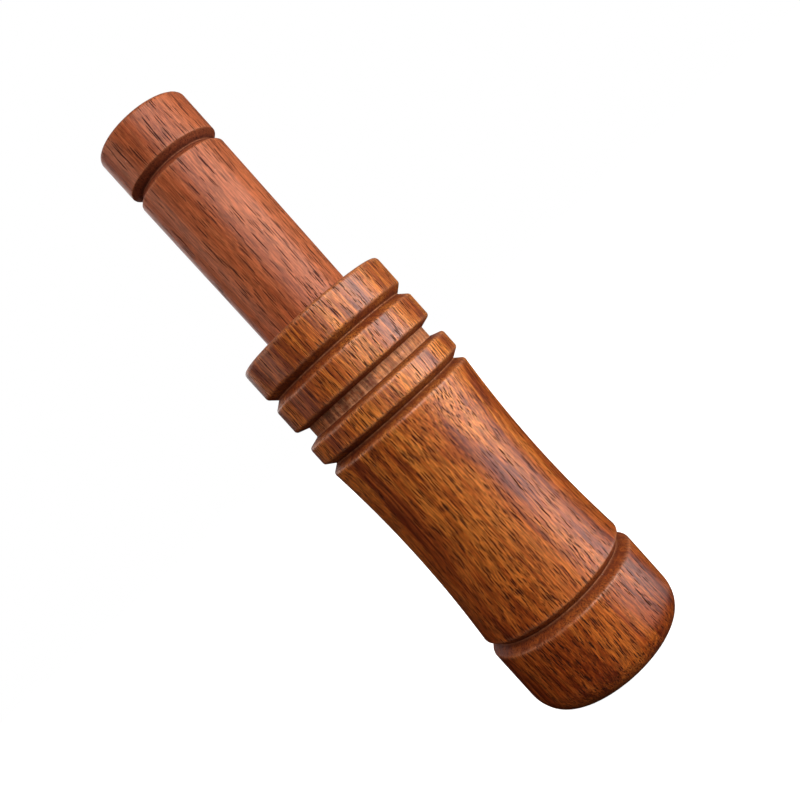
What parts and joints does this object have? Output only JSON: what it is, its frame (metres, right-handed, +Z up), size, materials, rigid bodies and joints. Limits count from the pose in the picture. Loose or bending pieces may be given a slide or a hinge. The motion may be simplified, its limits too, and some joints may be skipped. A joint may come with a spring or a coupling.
{
  "type": "duck call",
  "caption": "Turned wooden duck call: a waisted barrel with ring collars, and a pull-out stopper that carries the tone board, reeds, wedge and sealing rings.",
  "frame": {"origin": "centre of the mouth face, on the surface that the upright call stands on", "axes": "+Z up the call's axis from the mouth to the stopper's open end; -Y is the side of the tone board that the reeds lie on; +X to the right when looking along +Y"},
  "size_m": [0.0378, 0.0378, 0.149],
  "materials": {
    "barrel_wood": "satin varnish over golden brown open-pored wood",
    "stopper_wood": "satin varnish over reddish brown wood",
    "tone_plastic": "smooth dark moulded polycarbonate",
    "ring_rubber": "matt black",
    "reed_film": "milky satin polyester film",
    "cork": "raw granular cork"
  },
  "bodies": {
    "barrel": {"barrel": "barrel_wood"},
    "seals": {"front_o_ring": "ring_rubber", "rear_o_ring": "ring_rubber"},
    "insert": {"stopper": "stopper_wood", "tone_board": "tone_plastic", "wedge_cork": "cork"},
    "reeds": {"long_reed": "reed_film", "short_reed": "reed_film"}
  },
  "joints": [
    {"name": "insert_slide", "type": "slide", "parent": "barrel", "child": "seals", "axis": [0, 0, 1], "range_m": [0, 0.07]},
    {"name": "insert_twist", "type": "hinge", "parent": "seals", "child": "insert", "pos_m": [0, 0, 0.0968], "axis": [0, 0, 1], "continuous": true},
    {"name": "reed_flex", "type": "hinge", "parent": "insert", "child": "reeds", "pos_m": [0, -0.00128, 0.0797], "axis": [1, 0, 0], "range_deg": [0, 1.3], "stiffness_Nm_per_rad": 0.0115}
  ]
}
